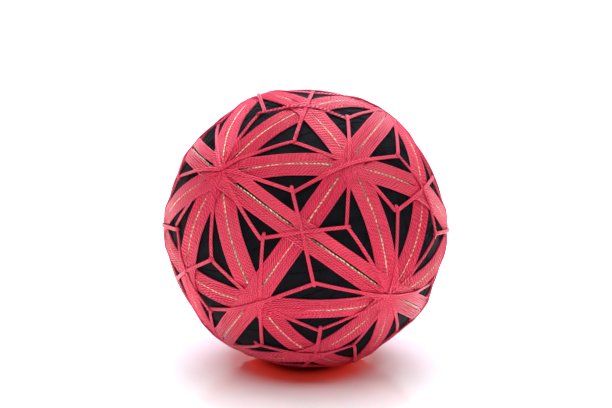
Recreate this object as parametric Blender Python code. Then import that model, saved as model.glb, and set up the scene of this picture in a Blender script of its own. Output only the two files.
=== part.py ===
"""A temari ball: a ball wound with black thread, crossed by nine bands of pink thread.

Metres, +Z up. The origin is the middle of the small flat spot that the ball rests on, straight
under the ball's centre, and the front of the ball faces -Y.
"""

import itertools
import math

import bmesh
import bpy
from mathutils import Euler, Vector

OBJECT_NAME = "temari_ball"

# Driving sizes, in metres unless a name says otherwise.
BALL_RADIUS = 0.0425  # to the outside of a band, midway between two crossings
BAND_THICKNESS = 0.0008
CLEARANCE = 0.0003  # left between the wound ball and the bands over it
BAND_HALF_WIDTH = 0.0040
FLAT_DEPTH = 0.0011  # how much of the round the flat spot takes away

CORE_RADIUS = BALL_RADIUS - BAND_THICKNESS - CLEARANCE
CENTRE_HEIGHT = BALL_RADIUS - FLAT_DEPTH

# Where bands cross they lie over one another, so the surface rises there, by an amount for each
# kind of crossing: a kind is how many bands pass through it.
CROSSING_RISE = {4: 0.0013, 3: 0.0009, 2: 0.00065}

# The ball is divided by the nine mirror planes of a cube. Its crossings lie along the cube's face,
# corner and edge directions, and this turns those directions to the way that the ball lies.
LIE = Euler((math.radians(111), math.radians(-52), math.radians(19)), "XYZ").to_matrix()

# The division is marked by hand, so some crossings are off: (crossing, to the right, upwards), in
# millimetres as seen from the front. The ball between them follows, out to about this angle.
PIN_REACH = math.radians(25)
PIN_SHIFTS_MM = [
    ((0, 1, 0), 0.5, 0.5),
    ((0, 0, 1), 0.0, -1.0),
    ((1, 1, 1), -1.5, -0.5),
    ((-1, 1, 1), 1.5, 0.0),
    ((-1, 1, -1), 0.0, 1.0),
    ((0, 1, 1), -0.5, 0.5),
    ((1, 1, 0), 0.5, -2.0),
    ((1, 0, 1), -0.5, 0.0),
    ((-1, 1, 0), -0.5, 0.0),
    ((-1, 0, 1), 3.0, 2.0),
]

# Facets round the ball, and from the top to the bottom.
AROUND = 40
DOWN = 20

CORE_BLACK = (0.012, 0.014, 0.017, 1.0)
BAND_PINK = (0.80, 0.045, 0.105, 1.0)


def lying(crossing):
    """The direction of a crossing as the exact division has it, once the ball lies in place."""
    return (LIE @ Vector(crossing)).normalized()


def pinned(direction):
    """The direction where a point of the exact division lies on the hand-marked ball."""
    shift = Vector()
    for crossing, right_mm, up_mm in PIN_SHIFTS_MM:
        angle = direction.angle(lying(crossing))
        pull = math.exp(-((angle / PIN_REACH) ** 2))
        shift += pull * Vector((right_mm, 0, up_mm)) / (1000 * BALL_RADIUS)
    along_surface = shift - shift.dot(direction) * direction
    return (direction + along_surface).normalized()


def crossings():
    """Every crossing of the division, with how many bands pass through it."""
    bands_through = {1: 4, 2: 2, 3: 3}
    for crossing in itertools.product((-1, 0, 1), repeat=3):
        sides = sum(abs(side) for side in crossing)
        if sides:
            yield crossing, bands_through[sides]


def surface_radius(direction, peaks):
    """The radius of the bands' outside: a taut thread runs straight from a peak to the round."""
    radius = BALL_RADIUS
    for peak, rise in peaks:
        reach = math.acos(BALL_RADIUS / (BALL_RADIUS + rise))
        angle = direction.angle(peak)
        if angle < reach:
            radius = max(radius, BALL_RADIUS / math.cos(reach - angle))
    return radius


def material(name, colour, roughness):
    """A plain Principled material for a wound thread."""
    made = bpy.data.materials.new(name)
    made.use_nodes = True
    shader = made.node_tree.nodes["Principled BSDF"]
    shader.inputs["Base Color"].default_value = colour
    shader.inputs["Roughness"].default_value = roughness
    shader.inputs["Metallic"].default_value = 0.0
    made.diffuse_color = colour
    return made


def collection(name):
    """A new collection in the scene."""
    made = bpy.data.collections.new(name)
    bpy.context.scene.collection.children.link(made)
    return made


def placed(name, mesh_maker, where, centre):
    """An object in a collection, its mesh filled in by a function, centred on the ball."""
    mesh = bpy.data.meshes.new(name)
    shape = bmesh.new()
    mesh_maker(shape)
    shape.to_mesh(mesh)
    shape.free()
    made = bpy.data.objects.new(name, mesh)
    where.objects.link(made)
    made.parent = centre
    return made


def flatten(shape, height):
    """Cut a ball off flat underneath, at a height under its centre."""
    everything = shape.verts[:] + shape.edges[:] + shape.faces[:]
    below = {"plane_co": (0, 0, -height), "plane_no": (0, 0, -1)}
    cut_ring = bmesh.ops.bisect_plane(shape, geom=everything, clear_outer=True, **below)
    rim = [part for part in cut_ring["geom_cut"] if isinstance(part, bmesh.types.BMEdge)]
    bmesh.ops.contextual_create(shape, geom=rim)
    bmesh.ops.recalc_face_normals(shape, faces=shape.faces)


def flat_ball(radius, rests_over):
    """A maker of a round ball whose own flat is a distance above what the whole ball rests on."""

    def make(shape):
        bmesh.ops.create_uvsphere(shape, u_segments=AROUND, v_segments=DOWN, radius=radius)
        flatten(shape, CENTRE_HEIGHT - rests_over)

    return make


def raised_ball(shape):
    """The outside of the bands: a ball that rises to a low peak at each crossing."""
    peaks = [(pinned(lying(c)), CROSSING_RISE[bands]) for c, bands in crossings()]
    bmesh.ops.create_uvsphere(shape, u_segments=AROUND, v_segments=DOWN, radius=BALL_RADIUS)
    for corner in shape.verts:
        direction = corner.co.normalized()
        corner.co = direction * surface_radius(direction, peaks)
    flatten(shape, CENTRE_HEIGHT)


def opening_corner(plane_a, plane_b, towards, radius):
    """Where the edges of two bands meet, at a radius from the ball's centre."""
    across = (plane_a + plane_b) * BAND_HALF_WIDTH / (1 + plane_a.dot(plane_b))
    along = plane_a.cross(plane_b).normalized()
    if along.dot(towards) < 0:
        along = -along
    point = across + along * math.sqrt(radius**2 - across.length_squared)
    return pinned(point.normalized()) * radius


def openings(shape):
    """A three-sided wedge for each opening between three bands, in through their thickness."""
    inner_radius = 0.97 * CORE_RADIUS
    outer_radius = 1.08 * BALL_RADIUS
    for order in itertools.permutations(range(3)):
        for signs in itertools.product((-1, 1), repeat=3):
            corner = Vector((0, 0, 0))
            corners = []
            for axis in order:
                corner[axis] = signs[axis]
                corners.append(lying(corner))
            planes = []
            for i in range(3):
                plane = corners[i].cross(corners[(i + 1) % 3]).normalized()
                inwards = 1 if plane.dot(corners[(i + 2) % 3]) > 0 else -1
                planes.append(plane * inwards)
            wedge = bmesh.ops.create_cone(
                shape, cap_ends=True, segments=3, radius1=1, radius2=2, depth=1
            )["verts"]
            inner = [corner for corner in wedge if corner.co.z < 0]
            outer = [corner for corner in wedge if corner.co.z > 0]
            for ring, radius in ((inner, inner_radius), (outer, outer_radius)):
                ring.sort(key=lambda corner: math.atan2(corner.co.y, corner.co.x))
                for i in range(3):
                    meeting = (planes[i - 1], planes[i], corners[i])
                    ring[i].co = opening_corner(*meeting, radius)
    bmesh.ops.triangulate(shape, faces=shape.faces)
    bmesh.ops.recalc_face_normals(shape, faces=shape.faces)


def cut(piece, cutter):
    """Take a cutter's shape out of a piece."""
    boolean = piece.modifiers.new(f"cut by {cutter.name}", "BOOLEAN")
    boolean.operation = "DIFFERENCE"
    boolean.solver = "EXACT"
    boolean.object = cutter


def shade(piece, sharp_degrees):
    """Shade the round smooth and keep the cut edges sharp."""
    piece.data.shade_smooth()
    piece.data.set_sharp_from_angle(angle=math.radians(sharp_degrees))


def build():
    for old in list(bpy.data.objects):
        bpy.data.objects.remove(old)

    parts = collection(OBJECT_NAME)
    cutters = collection("cutters")
    centre = bpy.data.objects.new("ball_centre", None)
    centre.location = (0, 0, CENTRE_HEIGHT)
    parts.objects.link(centre)

    inside_bands = flat_ball(BALL_RADIUS - BAND_THICKNESS, BAND_THICKNESS)
    core_cutter = placed("core_cutter", inside_bands, cutters, centre)
    opening_cutter = placed("opening_cutter", openings, cutters, centre)
    for cutter in cutters.objects:
        cutter.hide_render = True
        cutter.display_type = "WIRE"

    core = flat_ball(CORE_RADIUS, BAND_THICKNESS + CLEARANCE)
    wound_core = placed("wound_core", core, parts, centre)
    wound_core.data.materials.append(material("core_thread", CORE_BLACK, 0.85))
    shade(wound_core, 30)

    thread_bands = placed("thread_bands", raised_ball, parts, centre)
    thread_bands.data.materials.append(material("band_thread", BAND_PINK, 0.55))
    shade(thread_bands, 30)
    cut(thread_bands, core_cutter)
    cut(thread_bands, opening_cutter)


build()
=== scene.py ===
"""A temari ball: a ball wound with black thread, divided into stars by pink and gold thread.

The sections follow the ball as it is made: the place it is looked at in, the wound ball, the gold
marking threads, the nine pink bands, and the three-armed stitches laid over them last.
"""

import itertools
import math

import bpy
import numpy as np
from mathutils import Euler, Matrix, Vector


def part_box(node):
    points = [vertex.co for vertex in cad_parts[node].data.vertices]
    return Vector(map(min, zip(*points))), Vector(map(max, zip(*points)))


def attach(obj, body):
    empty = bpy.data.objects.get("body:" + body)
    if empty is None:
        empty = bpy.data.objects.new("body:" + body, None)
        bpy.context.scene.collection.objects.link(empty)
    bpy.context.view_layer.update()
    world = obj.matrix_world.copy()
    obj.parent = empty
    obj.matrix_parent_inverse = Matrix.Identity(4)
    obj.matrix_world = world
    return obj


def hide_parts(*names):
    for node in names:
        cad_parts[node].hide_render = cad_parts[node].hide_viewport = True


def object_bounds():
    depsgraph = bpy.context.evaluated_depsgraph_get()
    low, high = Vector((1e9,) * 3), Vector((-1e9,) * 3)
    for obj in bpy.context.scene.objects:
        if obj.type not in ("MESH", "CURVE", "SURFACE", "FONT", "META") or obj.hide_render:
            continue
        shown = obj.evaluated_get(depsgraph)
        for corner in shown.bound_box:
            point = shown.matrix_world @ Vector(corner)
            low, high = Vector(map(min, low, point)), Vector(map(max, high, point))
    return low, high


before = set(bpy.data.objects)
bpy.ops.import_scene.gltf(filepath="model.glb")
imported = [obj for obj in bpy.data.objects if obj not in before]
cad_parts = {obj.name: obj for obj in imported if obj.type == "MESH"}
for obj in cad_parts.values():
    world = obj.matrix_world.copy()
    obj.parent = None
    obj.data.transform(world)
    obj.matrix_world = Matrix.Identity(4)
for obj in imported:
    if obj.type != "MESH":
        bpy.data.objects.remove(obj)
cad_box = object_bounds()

# ------------------------------------------------------------------------------------------
# The table it stands on: a glossy white sheet that runs up behind, in soft light from above
# and from all round, seen from a little above and some way off.

core_low, core_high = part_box("wound_core")
ball_radius = (cad_box[1].z - cad_box[0].z) / 2
centre = np.array((0.0, 0.0, core_high.z - (core_high.x - core_low.x) / 2))


class Finish:
    """A material whose pattern is written as sums on the sockets of its nodes."""

    def __init__(self, name, **constants):
        self.material = bpy.data.materials.new(name)
        self.material.use_nodes = True
        self.tree = self.material.node_tree
        self.shader = self.tree.nodes["Principled BSDF"]
        for socket, value in constants.items():
            self.shader.inputs[socket.replace("_", " ")].default_value = value

    def node(self, kind, settings=None, sockets=None, output=0):
        """Any node: its type, its settings, then the values or links of its sockets."""
        made = self.tree.nodes.new("ShaderNode" + kind)
        for setting, value in (settings or {}).items():
            setattr(made, setting, value)
        for socket, value in (sockets or {}).items():
            self.feed(made.inputs[socket], value)
        return Wire(self, made.outputs[output])

    def feed(self, socket, value):
        """Link a socket to a wire, or set its value."""
        if isinstance(value, Wire):
            self.tree.links.new(value.socket, socket)
        else:
            socket.default_value = value

    def set(self, socket, value):
        """Feed one of the shader's own sockets."""
        self.feed(self.shader.inputs[socket], value)

    def blend(self, amount, low, high):
        """A colour between two colours."""
        sockets = {0: amount, 6: low, 7: high}
        return self.node("Mix", {"data_type": "RGBA"}, sockets, output=2)

    def bump(self, height, distance):
        """Relief from a height between 0 and 1."""
        relief = self.node("Bump", None, {"Height": height, "Distance": distance})
        self.set("Normal", relief)


class Wire:
    """An output socket that can be added, multiplied and so on."""

    def __init__(self, finish, socket):
        self.finish = finish
        self.socket = socket

    def math(self, operation, *values):
        """A Math node of the same finish."""
        return self.finish.node("Math", {"operation": operation}, dict(enumerate(values)))

    def __add__(self, other):
        return self.math("ADD", self, other)

    def __sub__(self, other):
        return self.math("SUBTRACT", self, other)

    def __rsub__(self, other):
        return self.math("SUBTRACT", other, self)

    def __mul__(self, other):
        return self.math("MULTIPLY", self, other)

    def __pow__(self, other):
        return self.math("POWER", self, other)

    def __abs__(self):
        return self.math("ABSOLUTE", self)

    def sine(self):
        """The sine of an angle in radians."""
        return self.math("SINE", self)

    __radd__ = __add__
    __rmul__ = __mul__


def let_go():
    """Deselect everything, so that the next operator acts only on what it makes."""
    for item in bpy.context.selected_objects:
        item.select_set(False)


sheet_size = 5.0
sheet_rise = 1.6
flat_behind = 0.9  # how far behind the ball the sheet starts to rise
let_go()
bpy.ops.mesh.primitive_grid_add(x_subdivisions=48, y_subdivisions=48, size=sheet_size)
white_sheet = bpy.context.object
white_sheet.name = "white_sheet"
for corner in white_sheet.data.vertices:
    behind = max(0.0, corner.co.y - flat_behind)
    corner.co.z = sheet_rise * (1 - math.cos(min(behind, sheet_rise) / sheet_rise * math.pi / 2))
white_sheet.data.shade_smooth()
glossy_white = Finish("glossy_white", Roughness=0.035, IOR=1.65, Emission_Strength=1.0)
narrower = (1.15, 1, 1)  # the rings of colour are this much narrower than they are deep
place = glossy_white.node("TexCoord", output=3)
place = glossy_white.node("VectorMath", {"operation": "MULTIPLY"}, {0: place, 1: narrower})
from_ball = glossy_white.node("VectorMath", {"operation": "LENGTH"}, {0: place}, output=1)


def ring(inner, outer):
    """Rises smoothly from 0 to 1 between two distances from where the ball stands."""
    sockets = {"Value": from_ball, "From Min": inner, "From Max": outer}
    return glossy_white.node("MapRange", {"interpolation_type": "SMOOTHSTEP"}, sockets)


# The sheet's colour, with painted light and shade round the ball: a painted red glow of light thrown
# back by the ball at its foot, a painted pink glow and shadow round that, a painted grey shadow
# further out, then white.
painted_red_bounce = (0.88, 0.07, 0.04, 1)
painted_pink_bounce = (1.0, 0.90, 0.91, 1)
painted_grey_shadow = (0.85, 0.85, 0.87, 1)
sheet_white = (0.96, 0.955, 0.955, 1)
sheet_with_painted_bounce = glossy_white.blend(ring(0.020, 0.045), painted_pink_bounce, painted_grey_shadow)
sheet_with_painted_bounce = glossy_white.blend(ring(0.06, 0.12), sheet_with_painted_bounce, sheet_white)
sheet_with_painted_bounce = glossy_white.blend(ring(0.013, 0.031), painted_red_bounce, sheet_with_painted_bounce)
glossy_white.set("Base Color", sheet_with_painted_bounce)

# A painted glow from the sheet, which is no lamp: none under the ball, where it lies in painted
# shadow; a painted red and pink glow of light thrown back by the ball round its foot; strong further
# out, where it lights the ball from below.
unlit = (0, 0, 0, 1)
painted_red_glow = (0.27, 0.012, 0.006, 1)
painted_pink_glow = (0.13, 0.045, 0.045, 1)
strong_light = (2.3, 2.1, 2.1, 1)
faint_light = (0.05, 0.05, 0.05, 1)
outer_glow = glossy_white.blend(ring(0.05, 0.09), unlit, strong_light)
outer_glow = glossy_white.blend(ring(0.10, 0.25), outer_glow, faint_light)
outer_glow = glossy_white.blend(ring(0.025, 0.050), painted_pink_glow, outer_glow)
inner_glow = glossy_white.blend(ring(0.011, 0.019), unlit, painted_red_glow)
glossy_white.set("Emission Color", glossy_white.blend(ring(0.018, 0.031), inner_glow, outer_glow))
white_sheet.data.materials.append(glossy_white.material)

scene = bpy.context.scene
scene.view_settings.view_transform = "Standard"
surround = bpy.data.worlds.new("soft_surround")
surround.use_nodes = True
surround.node_tree.nodes["Background"].inputs["Color"].default_value = (1, 1, 1, 1)
surround.node_tree.nodes["Background"].inputs["Strength"].default_value = 0.02
scene.world = surround


def soft_light(name, place, target, size, power, colour=(1, 1, 1)):
    """A square lamp that faces a target."""
    lamp = bpy.data.lights.new(name, "AREA")
    lamp.size = size
    lamp.energy = power
    lamp.color = colour
    fitting = bpy.data.objects.new(name, lamp)
    scene.collection.objects.link(fitting)
    fitting.location = place
    fitting.rotation_euler = (Vector(place) - Vector(target)).to_track_quat("Z", "Y").to_euler()


soft_light("soft_light_above", (0, 0, 1.3), centre, 2.0, 50.0)
soft_light("soft_light_left", (-1.1, 0.1, 0.4), (0, 0, 0), 0.6, 0.5)
soft_light("soft_light_right", (1.1, 0.1, 0.4), (0, 0, 0), 0.6, 1.0)
cool_white = (0.95, 1.0, 1.3)
soft_light("soft_light_behind", (0, 1.3, 1.2), centre, 1.0, 21.0, cool_white)

view_up = math.radians(16.5)
view_distance = 0.85
above_middle = 0.0074  # the ball sits this far below the middle of the view
right_of_middle = 0.0003
camera = bpy.data.objects.new("camera", bpy.data.cameras.new("camera"))
scene.collection.objects.link(camera)
camera.data.sensor_width = 36
camera.data.lens = 164.6
camera.location = Vector(centre) + view_distance * Vector((0, -math.cos(view_up), math.sin(view_up)))
aim = Vector(centre) + above_middle * Vector((0, math.sin(view_up), math.cos(view_up)))
aim.x += right_of_middle
camera.rotation_euler = (camera.location - aim).to_track_quat("Z", "Y").to_euler()
scene.camera = camera

# ------------------------------------------------------------------------------------------
# The wound ball: filling and yarn under a skin of fine black sewing thread, wound on in every
# direction until nothing else shows. The last turns stand a little proud of those below.

rng = np.random.default_rng(21)
skin_fluff = 0.0002  # how far the skin stands proud of the plain ball
core_round = (core_high.x - core_low.x) / 2 + skin_fluff
skin_thread = 0.00026
skin_turns = 60
skin_steps = 96
skin_twist = 300
skin_askew = 0.06  # how far a turn of the skin passes from the ball's middle, in radians
lowest_turn = -0.3  # how deep and how proud the turns of the skin lie, in thicknesses of thread
highest_turn = 0.25
pink_thread = 0.00064  # how thick one pink thread lies
bulges = [  # direction from the centre, reach in degrees, outwards by in millimetres
    (1.0, 0.0, -0.2, 45, 0.4),
    (-0.58, -0.2, -0.79, 24, -0.9),
    (-0.79, 0.18, 0.57, 10, -0.7),
    (0.58, 0.26, 0.78, 10, -0.5),
]


def unit(vectors):
    """The same directions with a length of 1."""
    return vectors / np.linalg.norm(vectors, axis=-1, keepdims=True)


def out_of_round(places):
    """The same places on the ball as it really is, pressed in here and there."""
    directions = unit(places)
    bulge = np.zeros(directions.shape[:-1])
    for bulge_x, bulge_y, bulge_z, reach_deg, bulge_mm in bulges:
        angle = np.arccos(np.clip(directions @ unit(np.array((bulge_x, bulge_y, bulge_z))), -1, 1))
        bulge += bulge_mm / 1000 * np.exp(-((np.degrees(angle) / reach_deg) ** 2))
    return places + bulge[..., None] * directions


def thread_loop(around, sides):
    """A closed loop of thread, to be copied and laid along other paths."""
    let_go()
    bpy.ops.mesh.primitive_torus_add(
        major_radius=1, minor_radius=0.1, major_segments=around, minor_segments=sides
    )
    loop = bpy.context.object
    corners = np.array([corner.co for corner in loop.data.vertices])
    along = np.arctan2(corners[:, 1], corners[:, 0]) % math.tau
    loop_step = np.rint(along / math.tau * around).astype(int) % around
    outwards = np.hypot(corners[:, 0], corners[:, 1]) - 1
    loop_angle = np.arctan2(corners[:, 2], outwards)
    loop.data.shade_smooth()
    mesh = loop.data
    bpy.data.objects.remove(loop)
    return {"mesh": mesh, "step": loop_step, "angle": loop_angle}


def lay_thread(loop, path, thickness, turns, width=None):
    """Lay a copy of a loop along a closed path round the ball's centre, with its twist."""
    width = width or thickness
    tangent = unit(np.roll(path, -1, axis=0) - np.roll(path, 1, axis=0))
    outward = unit(path - (path * tangent).sum(1, keepdims=True) * tangent)
    sideways = np.cross(outward, tangent)
    step, angle = loop["step"], loop["angle"][:, None]
    rise = thickness / 2 * np.cos(angle) * outward[step]
    corners = centre + path[step] + rise + width / 2 * np.sin(angle) * sideways[step]
    mesh = loop["mesh"].copy()
    mesh.vertices.foreach_set("co", corners.ravel())
    laid = mesh.uv_layers[0].data
    uv = np.zeros(2 * len(laid))
    laid.foreach_get("uv", uv)
    uv[0::2] = uv[0::2] * turns + rng.uniform()
    laid.foreach_set("uv", uv)
    thread = bpy.data.objects.new("thread", mesh)
    scene.collection.objects.link(thread)
    return thread


def join(threads, name, finish):
    """Make one piece of several threads, with its finish."""
    let_go()
    for thread in threads:
        thread.select_set(True)
    bpy.context.view_layer.objects.active = threads[0]
    bpy.ops.object.join()
    piece = bpy.context.object
    piece.name = name
    piece.data.name = name
    piece.data.materials.clear()
    piece.data.materials.append(finish.material)
    return piece


def settled(places, height):
    """The places of a path on the ball as it lies: out of round, and a height off the sheet."""
    places = out_of_round(places)
    places[:, 2] = np.maximum(places[:, 2], height - centre[2])
    return places


let_go()
bpy.ops.mesh.primitive_uv_sphere_add(segments=120, ring_count=60, radius=core_round, location=centre)
ball = bpy.context.object
bpy.ops.object.transform_apply(location=True, rotation=True, scale=True)
for corner in ball.data.vertices:
    corner.co = centre + out_of_round(np.array(corner.co) - centre)
    corner.co.z = max(corner.co.z, pink_thread)
ball.data.shade_smooth()

fine_loop = thread_loop(skin_steps, 3)
skin = [ball]
compass = np.linspace(0, math.tau, skin_steps, endpoint=False)[:, None]
for _ in range(skin_turns):
    pole = unit(rng.normal(size=3))
    aside = unit(np.cross(pole, rng.normal(size=3)))
    off = rng.normal(0, skin_askew)
    around = np.cos(compass) * aside + np.sin(compass) * np.cross(pole, aside)
    ring_round = math.cos(off) * around + math.sin(off) * pole
    radius = core_round + rng.uniform(lowest_turn, highest_turn) * skin_thread
    path = settled(radius * ring_round, pink_thread + skin_thread / 2)
    skin.append(lay_thread(fine_loop, path, skin_thread, skin_twist))

black = Finish("black_sewing_thread", Roughness=0.7, Specular_IOR_Level=0.07)
painted_black_hollow_shade = (0.0003, 0.0005, 0.001, 1)
black_crest = (0.0065, 0.0080, 0.0125, 1)
place = black.node("TexCoord", output=3)
strands = []
for tilt in (0.0, 1.1, 2.2):
    turned = black.node("Mapping", None, {"Vector": place, "Rotation": (tilt, 0.7 * tilt, tilt)})
    wave = {"Vector": turned, "Scale": 900.0, "Distortion": 3.0, "Detail": 2.0}
    strands.append(black.node("TexWave", {"bands_direction": "X"}, wave, output=1))
cloud = black.node("TexNoise", None, {"Vector": place, "Scale": 300.0, "Detail": 3.0})
relief = (strands[0] + strands[1] + strands[2]) * 0.33
# Darker in the hollows between the strands and lighter on their crests: painted shade, made uneven
# at random by the cloud.
black.set("Base Color", black.blend(relief * cloud, painted_black_hollow_shade, black_crest))
black.bump(relief, 0.00012)
wound_ball = join(skin, "wound_ball", black)
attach(wound_ball, "root")
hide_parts("wound_core")

# ------------------------------------------------------------------------------------------
# The marking threads: gold metallic thread on nine great circles, held by pins while the ball is
# divided. It is done by hand, so some crossings are off by a millimetre or more, and all that is
# worked on the ball afterwards follows them.

lie = np.array(Euler((math.radians(111), math.radians(-52), math.radians(19)), "XYZ").to_matrix())
pin_reach = math.radians(25)
pins = [  # crossing, to the right and up as seen from the front, in millimetres
    ((0, 1, 0), 0.5, 0.5),
    ((0, 0, 1), 0.0, -1.0),
    ((1, 1, 1), -1.5, -0.5),
    ((-1, 1, 1), 1.5, 0.0),
    ((-1, 1, -1), 0.0, 1.0),
    ((0, 1, 1), -0.5, 0.5),
    ((1, 1, 0), 0.5, -2.0),
    ((1, 0, 1), -0.5, 0.0),
    ((-1, 1, 0), -0.5, 0.0),
    ((-1, 0, 1), 3.0, 2.0),
]
# The great circles by their poles, in the order that their bands are wound, the first lowest.
circles = [(0, 1, 1), (1, 0, 1), (1, 1, 0), (0, 1, 0), (0, 0, 1)]
circles += [(1, 0, -1), (1, -1, 0), (0, 1, -1), (1, 0, 0)]
# How far each circle strays besides: degrees round it, and millimetres towards its pole.
strays = {
    (1, 0, 1): [
        (20, -0.2), (40, -0.6), (67, -1.6), (82, -2.0), (115, 0), (300, 0), (325, 0.2),
        (345, -0.7),
    ],
    (1, 1, 0): [
        (35, -0.5), (68, -1.6), (92, -1.8), (120, -2.7), (150, -2.2), (180, -2.5), (220, 0),
        (350, 0),
    ],
    (0, 1, 0): [
        (90, 0), (127, -0.9), (150, -1.0), (180, -1.5), (190, -1.3), (207, -0.3), (220, -0.7),
        (250, 0),
    ],
    (0, 0, 1): [
        (30, -0.7), (60, 0), (260, 0), (290, -1.5), (302, -0.8), (325, 0.15), (345, 0.3),
    ],
    (1, 0, -1): [
        (110, 0), (140, -0.8), (157, -0.8), (187, -1.3), (202, -0.8), (220, -0.4), (255, -0.2),
    ],
    (1, -1, 0): [
        (0, 0.7), (20, 0.4), (55, 0.6), (85, 0), (270, 0), (305, -0.4), (318, 0.1), (328, 0.7),
    ],
    (0, 1, -1): [
        (60, 0), (90, 1.3), (110, 2.0), (135, 1.85), (160, 0.3), (180, 0.2), (212, 0.6),
        (235, 0.15),
    ],
    (1, 0, 0): [
        (10, -0.8), (35, -0.45), (63, 0), (80, 0.4), (105, 0.9), (125, 0.9), (160, 0), (320, 0),
        (352, -0.9),
    ],
}
gold_thickness = 0.00042
gold_height = 0.00033
gold_twist = 200
gold_unevenness = 0.000025
smoothing_rounds = 60
around_steps = 540


def lying(crossing):
    """The direction of a crossing of the exact division, as the ball lies."""
    return unit(lie @ np.array(crossing, float))


def pinned(directions):
    """Where directions of the exact division lie on the hand-marked ball."""
    shift = np.zeros_like(directions)
    for crossing, right_mm, up_mm in pins:
        angle = np.arccos(np.clip(directions @ lying(crossing), -1, 1))
        pull = np.exp(-((angle / pin_reach) ** 2))[..., None]
        shift += pull * np.array((right_mm, 0, up_mm)) / 1000 / ball_radius
    shift -= (shift * directions).sum(-1, keepdims=True) * directions
    return unit(directions + shift)


def circle_frame(pole):
    """A great circle's pole and two directions in its plane."""
    pole = lying(pole)
    start = unit(np.cross(pole, (0.31, 0.52, 0.79)))
    return pole, start, np.cross(pole, start)


def straying(circle):
    """How far a circle strays towards its pole, at each step round it."""
    if circle not in strays:
        return np.zeros(around_steps)
    degrees, millimetres = zip(*strays[circle])
    drift = np.interp(np.degrees(compass), degrees, millimetres, period=360) / 1000
    for _ in range(smoothing_rounds):
        drift = (np.roll(drift, 1) + 2 * drift + np.roll(drift, -1)) / 4
    return drift


compass = np.linspace(0, math.tau, around_steps, endpoint=False)
gold_loop = thread_loop(around_steps, 6)
gold_threads = []
for circle in circles:
    pole, start, side = circle_frame(circle)
    directions = np.cos(compass)[:, None] * start + np.sin(compass)[:, None] * side
    off = straying(circle)
    for wave in (9, 17, 31):
        off += rng.normal(0, gold_unevenness) * np.cos(wave * compass + rng.uniform(0, math.tau))
    directions = unit(directions + (off / core_round)[:, None] * pole)
    path = settled((core_round + gold_height) * pinned(directions), pink_thread + gold_height)
    gold_threads.append(lay_thread(gold_loop, path, gold_thickness, gold_twist))


def thread_map(finish):
    """How many turns of its twist along a thread a point is, and how far round it."""
    mapped = {"Vector": finish.node("TexCoord", output=2)}
    return [finish.node("SeparateXYZ", None, mapped, output=axis) for axis in (0, 1)]


gold = Finish("gold_metallic_thread", Metallic=0.35, Roughness=0.38)
# Duller between the turns of the foil, and in breaks along the thread at random.
dull_gold = (0.17, 0.18, 0.10, 1)
bright_gold = (0.80, 0.75, 0.46, 1)
turns, round_it = thread_map(gold)
foil = abs(((turns + round_it) * math.pi).sine())
break_noise = gold.node("TexNoise", None, {"Vector": gold.node("TexCoord", output=3), "Scale": 1000.0})
bright = {"Value": foil * 0.6 + break_noise * 1.6, "From Min": 1.0, "From Max": 1.5}
gold.set("Base Color", gold.blend(gold.node("MapRange", None, bright), dull_gold, bright_gold))
gold.bump(foil, 0.00008)
marking = join(gold_threads, "gold_marking_threads", gold)
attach(marking, "root")

# ------------------------------------------------------------------------------------------
# The nine bands: pink pearl cotton wound on both sides of each gold thread, six threads a side.
# Each band lies over those wound before it and spans taut from one crossing to the next. The last
# stitches, pulled tight over them, draw the bands in.

threads_a_side = 6
thread_width = 0.00060
half_gap = 0.00021
edge_past = 0.0001  # a band's edge still lifts a thread this far beyond it
edge_slope = 0.0003
squeeze = 0.42  # each further layer adds less, as the threads below are pressed flat
gap_drift = 0.00004
thread_drift = 0.000018
thread_bob = 0.00002
gap_closing = 1.1  # near a crossing the two sides of a band close over its gold thread
gap_closing_deg = 4.5
on_circle = 0.01  # a crossing whose direction is this near square to a pole is on its circle
row_side = np.repeat((-1, 1), threads_a_side)
row_number = np.concatenate([np.arange(threads_a_side)[::-1], np.arange(threads_a_side)])
half_widths_mm = {  # how wide each band is on the far side of its gold thread and on its pole's
    (0, 1, 1): (3.7, 3.7),
    (1, 0, 1): (3.7, 3.95),
    (1, 1, 0): (3.55, 3.85),
    (0, 1, 0): (3.5, 4.15),
    (0, 0, 1): (3.7, 4.1),
    (1, 0, -1): (3.9, 3.6),
    (1, -1, 0): (3.6, 3.5),
    (0, 1, -1): (3.45, 3.5),
    (1, 0, 0): (4.05, 3.85),
}
crowded = [  # circle, side, crossing that it is near, reach in degrees, wider by in millimetres
    ((1, 1, 0), -1, (-2, 2, 7), 18, -0.8),
    ((1, 0, 1), -1, (-2, 1, 2), 25, -0.4),
    ((0, 1, -1), -1, (2, 1, 1), 20, 0.4),
    ((0, 1, -1), 1, (2, 1, 1), 20, 0.5),
]
uneven_gaps = [  # circle, side, crossing that it is near, reach in degrees, opened by in millimetres
    ((1, 0, 0), 1, (0, 1, 1), 60, 0.42),
    ((1, 0, 0), 1, (0, 2, -1), 30, 0.40),
    ((1, 1, 0), 1, (-2, 2, 3), 13, -0.3),
    ((1, 1, 0), -1, (-2, 2, 3), 13, -0.3),
    ((0, 1, -1), 1, (-1, 4, 4), 10, -0.25),
    ((0, 1, -1), -1, (-1, 4, 4), 10, -0.25),
]


def pressed(layers):
    """How high a number of whole layers of thread stands once pressed."""
    return pink_thread * np.where(layers > 1, np.maximum(layers, 1) ** squeeze, layers)


def unpressed(height):
    """How many layers stand as high as this."""
    layers = height / pink_thread
    return np.where(layers > 1, np.maximum(layers, 1) ** (1 / squeeze), layers)


def taut(support, step, closed, rounds=1600):
    """Heights of a taut thread over the heights that hold it up, at even steps of angle."""
    lowest = 1 / (core_round + support)
    reach = lowest.copy()
    for _ in range(rounds):
        if closed:
            chord = (np.roll(reach, 1, axis=-1) + np.roll(reach, -1, axis=-1)) / (2 * math.cos(step))
            reach = np.minimum(lowest, chord)
        else:
            chord = (reach[2:] + reach[:-2]) / (2 * math.cos(step))
            reach[1:-1] = np.minimum(lowest[1:-1], chord)
    return 1 / reach - core_round


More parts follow.
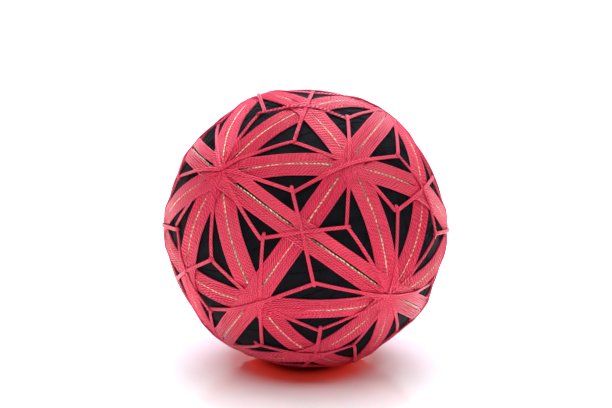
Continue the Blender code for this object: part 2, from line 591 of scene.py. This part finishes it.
def covering(directions, band):
    """How fully a band covers some directions, and how many layers its own threads lie on."""
    turn = np.arctan2(directions @ band["side"], directions @ band["start"]) % math.tau
    nearest = np.rint(turn / math.tau * around_steps).astype(int) % around_steps
    offset = core_round * np.arcsin(np.clip(directions @ band["pole"], -1, 1))
    offset -= band["straying"][nearest]
    row = np.abs(offset[..., None] - band["rows"]).argmin(-1)
    half_width = np.where(offset < 0, -band["rows"][0], band["rows"][-1]) + thread_width / 2
    cover = np.clip((half_width + edge_past - np.abs(offset)) / edge_slope, 0, 1)
    return cover, band["height"][row, nearest]


def top_of(directions, bands):
    """How high the outside of the bands stands over the core, and 0 where none lies."""
    top = np.zeros(directions.shape[:-1])
    for band in bands:
        cover, height = covering(directions, band)
        top = np.maximum(top, cover * (height + pink_thread))
    return top


def wander(amount, waves):
    """A small uneven drift round a circle, as hand winding leaves it."""
    drift = np.zeros(around_steps)
    for wave in waves:
        drift += rng.normal(0, amount) * np.cos(wave * compass + rng.uniform(0, math.tau))
    return drift


bands = []
for circle in circles:
    pole, start, side = circle_frame(circle)
    half_widths = np.where(row_side < 0, *half_widths_mm[circle]) / 1000
    outermost = half_widths - half_gap - thread_width / 2
    rows = row_side * (half_gap + (row_number + 0.5) / (threads_a_side - 0.5) * outermost)
    offsets = np.repeat(rows[:, None], around_steps, axis=1)
    along = np.cos(compass)[:, None] * start + np.sin(compass)[:, None] * side
    for face in (-1, 1):
        drift = half_gap + wander(gap_drift, (2, 3, 5, 7, 9))
        for gap_circle, gap_side, near, reach_deg, opened_mm in uneven_gaps:
            if gap_circle == circle and gap_side == face:
                angle = np.degrees(np.arccos(np.clip(along @ lying(near), -1, 1)))
                drift += opened_mm / 1000 * np.exp(-((angle / reach_deg) ** 4))
        for crossing in itertools.product((-1, 0, 1), repeat=3):
            if any(crossing) and abs(lying(crossing) @ pole) < on_circle:
                angle = np.degrees(np.arccos(np.clip(along @ lying(crossing), -1, 1)))
                drift *= 1 - gap_closing * np.exp(-((angle / gap_closing_deg) ** 4))
        drift -= half_gap
        looser = np.zeros(around_steps)
        for crowd_circle, crowd_side, near, reach_deg, wider_mm in crowded:
            if crowd_circle == circle and crowd_side == face:
                angle = np.degrees(np.arccos(np.clip(along @ lying(near), -1, 1)))
                looser += wider_mm / 1000 * np.exp(-((angle / reach_deg) ** 4))
        for row in np.flatnonzero(row_side == face):
            share = 1 - row_number[row] / threads_a_side
            offsets[row] += face * (drift * share + looser * (1 - share))
            offsets[row] += wander(thread_drift, (4, 9, 14, 21))
    drift = straying(circle)
    tilt = ((offsets + drift) / core_round)[..., None]
    directions = np.cos(tilt) * along + np.sin(tilt) * pole
    layers = np.zeros(offsets.shape)
    for under in bands:
        cover, height = covering(directions, under)
        layers = np.maximum(layers, cover * (unpressed(height) + 1))
    height = taut(pressed(layers), math.tau / around_steps, closed=True)
    bands.append(
        {
            "pole": pole,
            "start": start,
            "side": side,
            "straying": drift,
            "rows": rows,
            "directions": directions,
            "height": height,
        }
    )

# The stitches' lines, which draw the bands in: each runs straight over a crossing, from the middle
# of one opening to the middle of the opening opposite.
# The 48 openings are named by the order and the signs of 1, 2 and 3, and these are the
# directions of their middles in the same order.
opening_middle = {1: 0.216, 2: 0.521, 3: 0.826}
hand_error = 0.0005  # how far off a middle is, either way, where it isn't given below
off_middle = [  # opening, its middle to the right and up as seen from the front, in millimetres
    ((1, 3, 2), -0.8, -0.1),
    ((2, 3, 1), -1.1, -2.1),
    ((2, 3, -1), 0.6, -4.0),
    ((3, 2, 1), 0.5, 1.5),
    ((3, 1, 2), 0.1, -0.8),
    ((1, 2, 3), 0.3, -0.3),
    ((-1, 3, 2), 0.7, 0.7),
    ((-1, 2, 3), 0.4, -1.9),
    ((-2, 3, 1), -0.7, -0.6),
    ((1, 3, -2), 1.2, 1.2),
    ((-3, 2, 1), -2.0, -1.4),
    ((-3, 1, 2), -2.7, -1.4),
    ((-2, 1, 3), 0.8, -1.5),
    ((-2, -1, 3), -0.6, 2.7),
    ((2, -1, 3), 2.5, -0.8),
]
off_line = [  # opening, crossing, how far to the left an arm ends, seen from its crossing, in mm
    ((-1, 3, 2), (0, 1, 0), -1.2),
    ((-1, 3, 2), (0, 1, 1), 0.3),
    ((1, 3, 2), (0, 1, 0), -0.4),
    ((1, 3, 2), (1, 1, 1), 0.9),
    ((-1, 2, 3), (0, 1, 1), -0.4),
    ((-1, 2, 3), (-1, 1, 1), -0.4),
    ((-1, 2, 3), (0, 0, 1), 0.3),
    ((1, 2, 3), (0, 0, 1), -0.3),
    ((-2, 1, 3), (-1, 0, 1), 0.6),
    ((-2, 1, 3), (-1, 1, 1), -1.3),
    ((-2, -1, 3), (-1, -1, 1), -0.3),
    ((2, -1, 3), (0, 0, 1), -1.0),
    ((2, 1, 3), (1, 0, 1), 0.5),
    ((2, 1, 3), (1, 1, 1), -0.7),
    ((-2, 3, -1), (0, 1, 0), -1.2),
    ((-2, 3, -1), (-1, 1, -1), -0.3),
    ((-2, 3, 1), (0, 1, 0), 0.6),
    ((-2, 3, 1), (-1, 1, 0), -0.6),
    ((2, 3, -1), (1, 1, -1), 1.2),
    ((2, 3, -1), (1, 1, 0), 1.1),
    ((2, 3, 1), (0, 1, 0), -0.5),
    ((2, 3, 1), (1, 1, 0), 0.7),
    ((2, 3, 1), (1, 1, 1), 0.6),
    ((-3, 1, 2), (-1, 0, 0), -0.9),
    ((-3, 1, 2), (-1, 1, 1), 0.8),
    ((3, 1, 2), (1, 0, 0), -0.5),
    ((3, 1, 2), (1, 1, 1), -0.5),
    ((3, 2, 1), (1, 1, 1), 0.5),
    ((3, 2, 1), (1, 1, 0), -0.6),
]
openings = []
for order in itertools.permutations((1, 2, 3)):
    for signs in itertools.product((-1, 1), repeat=3):
        openings.append(tuple(rank * sign for rank, sign in zip(order, signs)))


def middle_of(opening):
    """The direction of the middle of an opening in the exact division."""
    return unit(lie @ np.array([math.copysign(opening_middle[abs(rank)], rank) for rank in opening]))


def corners_of(opening):
    """The three crossings round an opening, with four, two and three bands through them."""
    signs = [1 if rank > 0 else -1 for rank in opening]
    for smallest in (3, 2, 1):
        yield tuple(sign if abs(rank) >= smallest else 0 for sign, rank in zip(signs, opening))


middle_shift = {opening: rng.uniform(-hand_error, hand_error, 3) for opening in openings}
for opening, right_mm, up_mm in off_middle:
    middle_shift[opening] = np.array((right_mm, 0, up_mm)) / 1000

arms = {}
for opening in openings:
    middle = middle_of(opening)
    for crossing in corners_of(opening):
        point = lying(crossing)
        aim = unit(middle - (middle @ point) * point)
        shift = middle_shift[opening] / core_round
        for line_opening, line_crossing, left_mm in off_line:
            if (line_opening, line_crossing) == (opening, crossing):
                shift = shift + left_mm / 1000 / core_round * np.cross(point, aim)
        arm = {
            "opening": opening,
            "point": point,
            "aim": aim,
            "across": np.cross(point, aim),
            "reach": math.acos(middle @ point),
            "shift": shift - (shift @ middle) * middle,
        }
        arms.setdefault(crossing, []).append(arm)

draw_in = 0.00032
draw_in_more = 0.00034  # besides, at the crossing itself
draw_in_reach = 0.005
draw_in_width = 0.0006
arm_start = -0.01  # how far past the crossing an arm starts to pull, in radians


def drawn_in(directions):
    """How far the stitches pull the bands in at some directions."""
    pull = np.zeros(directions.shape[:-1])
    for arm in itertools.chain(*arms.values()):
        along = np.arctan2(directions @ arm["aim"], directions @ arm["point"])
        sideways = np.arcsin(np.clip(directions @ arm["across"], -1, 1))
        away = core_round * (sideways - arm["shift"] @ arm["across"] * along / arm["reach"])
        near = (along > arm_start) & (along < arm["reach"])
        depth = draw_in + draw_in_more * np.exp(-((along * core_round / draw_in_reach) ** 2))
        pull = np.maximum(pull, near * depth * np.exp(-((away / draw_in_width) ** 2)))
    return pull


pink = Finish("coral_pink_pearl_cotton", Roughness=0.38, Specular_IOR_Level=0.7)
plies = 3
# The creases between the plies are darker red: painted shade. The fibres make it uneven, and the
# pinks vary at random in patches.
painted_crease_shade = (0.54, 0.0005, 0.008, 1)
deep_pink = (0.97, 0.016, 0.090, 1)
light_pink = (1.0, 0.028, 0.120, 1)
turns, round_it = thread_map(pink)
ply = abs(((turns - round_it) * (plies * math.pi)).sine())
place = pink.node("TexCoord", output=3)
patch = pink.node("TexNoise", None, {"Vector": place, "Scale": 90.0, "Detail": 2.0})
fibre = pink.node("TexNoise", None, {"Vector": place, "Scale": 5200.0, "Detail": 2.0})
crest = (ply ** 1.2) * 0.95 + fibre * 0.3
pink.set("Base Color", pink.blend(crest, painted_crease_shade, pink.blend(patch, deep_pink, light_pink)))
pink.bump(ply ** 0.6 + fibre * 0.15, 0.0005)

pink_loop = thread_loop(around_steps, 6)
pink_twist = 80
for number, band in enumerate(bands, start=1):
    above = np.zeros(band["height"].shape)
    for over in bands[number:]:
        above += covering(band["directions"], over)[0]
    height = band["height"] + pink_thread / 2 - drawn_in(band["directions"])
    rest = pink_thread / 2 + pressed(above)
    threads = []
    for row in range(len(row_side)):
        bob = wander(thread_bob, (6, 11, 17))
        path = (core_round + height[row] + bob)[:, None] * pinned(band["directions"][row])
        path = settled(path, rest[row])
        threads.append(lay_thread(pink_loop, path, pink_thread, pink_twist, thread_width))
    piece = join(threads, f"pink_band_{number}", pink)
    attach(piece, "root")
    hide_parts("thread_bands")

# ------------------------------------------------------------------------------------------
# The stitches: two pink threads side by side, run straight over a crossing from the middle of one
# opening to the next. Three meet in each opening: two make a bend, and the third loops over it
# and holds it, its end a little past the bend.

strand = 0.00060
strand_apart = 0.00052
closest_pair = 0.75  # how far apart the two strands of a stitch lie, as a share of that
widest_pair = 1.1
closer_by = 0.2  # and how much closer at the crossing
closer_reach = 0.003
twist_length = 0.0030
holds_past = 0.0011
bend_past = 0.0001
bend_reach = 0.0006  # how far from the bend the arm that holds it starts to climb over it
top_sink = 0.00020  # how deep the last stitch of a crossing presses into the bands
crossed_sink = 0.00046  # and the lower one of only two
arm_sink = 0.00048  # and the arms of all the others
crossing_sink = 0.00042  # and how much deeper these go at the crossing, less for each stitch below
level_sink = 0.00008
proud_mm = 2.2  # how far from the crossing they start to go deeper
buried_mm = 4.5
holding_arm = {  # openings whose holding arm comes from a crossing of 1: four or 3: three bands
    (-1, 3, 2): 3,
    (3, 1, 2): 1,
    (2, 1, 3): 1,
    (3, 2, 1): 3,
    (-2, 3, -1): 3,
    (-2, -1, 3): 3,
}
# Where a stitch turns at its crossing: the crossing, and the two openings it runs between.
bends = {(0, 1, 0): ((-1, 3, -2), (2, 3, 1))}
proud_arms = {  # arms that stay on top of the bands nearly all the way to their crossing
    (0, 1, 0): ((1, 3, 2), (1, 3, -2), (2, 3, -1)),
    (1, 1, 1): ((3, 2, 1),),
    (-1, 1, 1): ((-3, 1, 2), (-1, 2, 3)),
    (0, 0, 1): ((2, 1, 3), (-1, 2, 3)),
}
on_top = {  # the stitch that is laid last over a crossing, by one of its openings
    (0, 1, 0): (2, 3, 1),
    (1, 1, 1): (1, 3, 2),
    (1, 1, 0): (2, 3, -1),
    (1, 0, 1): (3, 1, 2),
    (-1, 0, 1): (-3, 1, 2),
    (0, 0, 1): (-1, 2, 3),
    (-1, 1, 0): (-3, 2, 1),
    (-1, 1, 1): (-3, 2, 1),
    (0, 1, 1): (1, 3, 2),
}
bend_steps = 9
stitch_steps = 132
fine_steps = 241
stitch_loop = thread_loop(stitch_steps, 6)


def holds(arm, kind):
    """Whether an arm from a crossing is the one that loops over the bend in its opening."""
    return holding_arm.get(arm["opening"], 2) == kind


def racetrack(length_back, length_forward):
    """A closed path of two sides and two round ends: places along it and across it."""
    side_steps = (stitch_steps - 2 * bend_steps) // 2
    half = strand_apart / 2
    out = np.linspace(-length_back + half, length_forward - half, side_steps)
    swing = (np.arange(bend_steps) + 1) / (bend_steps + 1) * math.pi
    along = np.concatenate(
        [
            out,
            length_forward - half + half * np.sin(swing),
            out[::-1],
            -length_back + half - half * np.sin(swing),
        ]
    )
    across = np.concatenate(
        [
            np.full(side_steps, half),
            half * np.cos(swing),
            np.full(side_steps, -half),
            -half * np.cos(swing),
        ]
    )
    return along, across


def along_stitch(back, forward, along, sideways=0.0):
    """Directions along a stitch made of two arms, at angles from the crossing between them."""
    ahead = (along > 0)[:, None]
    turn = np.abs(along)[:, None]
    aim = np.where(ahead, forward["aim"], back["aim"])
    shift = np.where(ahead, forward["shift"] / forward["reach"], back["shift"] / back["reach"])
    across = np.where(ahead, forward["across"], -back["across"])
    straight = np.cos(turn) * forward["point"] + np.sin(turn) * aim
    return unit(straight + turn * shift + np.reshape(sideways, (-1, 1)) * across)


def paired(crossing, crossing_arms):
    """The arms at a crossing, two by two: opposite ones, or as the bends say; the top one last."""
    left = list(crossing_arms)
    pairs = []
    bent = bends.get(crossing, ())
    while left:
        first = left.pop(0)
        if first["opening"] in bent:
            second = next(arm for arm in left if arm["opening"] in bent)
        else:
            straight = [arm for arm in left if arm["opening"] not in bent]
            second = min(straight, key=lambda arm: arm["aim"] @ first["aim"])
        left.remove(second)
        pairs.append((first, second))
    pairs.sort(key=lambda pair: on_top.get(crossing) in (pair[0]["opening"], pair[1]["opening"]))
    return pairs


# A crossing of kind 1 has four bands through it, one of kind 3 has three and one of kind 2 has two.
stitches = {1: [], 2: [], 3: []}
for crossing, crossing_arms in arms.items():
    kind = sum(abs(side) for side in crossing)
    pairs = paired(crossing, crossing_arms)
    for level, (back, forward) in enumerate(pairs):
        past_back = holds_past if holds(back, kind) else bend_past
        past_forward = holds_past if holds(forward, kind) else bend_past
        length_back = back["reach"] * core_round + past_back
        length_forward = forward["reach"] * core_round + past_forward
        fine = np.linspace(-length_back / core_round, length_forward / core_round, fine_steps)
        directions = along_stitch(back, forward, fine)
        top = top_of(directions, bands)
        if level == len(pairs) - 1 or kind == 2:
            sink = np.full(fine_steps, top_sink if level else crossed_sink)
        else:
            sink = np.zeros(fine_steps)
            for arm, side in ((back, fine < 0), (forward, fine >= 0)):
                deep_mm = proud_mm if arm["opening"] in proud_arms.get(crossing, ()) else buried_mm
                buried = np.exp(-((fine * core_round * 1000 / deep_mm) ** 4))
                sink += side * (arm_sink + (crossing_sink - level_sink * level) * buried)
        support = np.maximum(top - sink, 0)
        for arm, sign in ((back, -1), (forward, 1)):
            if holds(arm, kind):
                over_bend = np.abs(fine - sign * arm["reach"]) * core_round
                support = np.maximum(support, strand * np.exp(-((over_bend / bend_reach) ** 4)))
        height = taut(support, fine[1] - fine[0], closed=False, rounds=2500)
        along, across = racetrack(length_back, length_forward)
        closer = closer_by * np.exp(-((along / closer_reach) ** 2))
        spread = rng.uniform(closest_pair, widest_pair) - closer
        directions = along_stitch(back, forward, along / core_round, across * spread / core_round)
        radius = core_round + strand / 2 + np.interp(along / core_round, fine, height)
        path = settled(radius[:, None] * pinned(directions), strand / 2)
        twist = round(2 * (length_back + length_forward) / twist_length)
        stitches[kind].append(lay_thread(stitch_loop, path, strand, twist))

for kind, name in ((1, "eight_arm"), (3, "six_arm"), (2, "four_arm")):
    piece = join(stitches[kind], f"{name}_star_stitches", pink)
    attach(piece, "root")
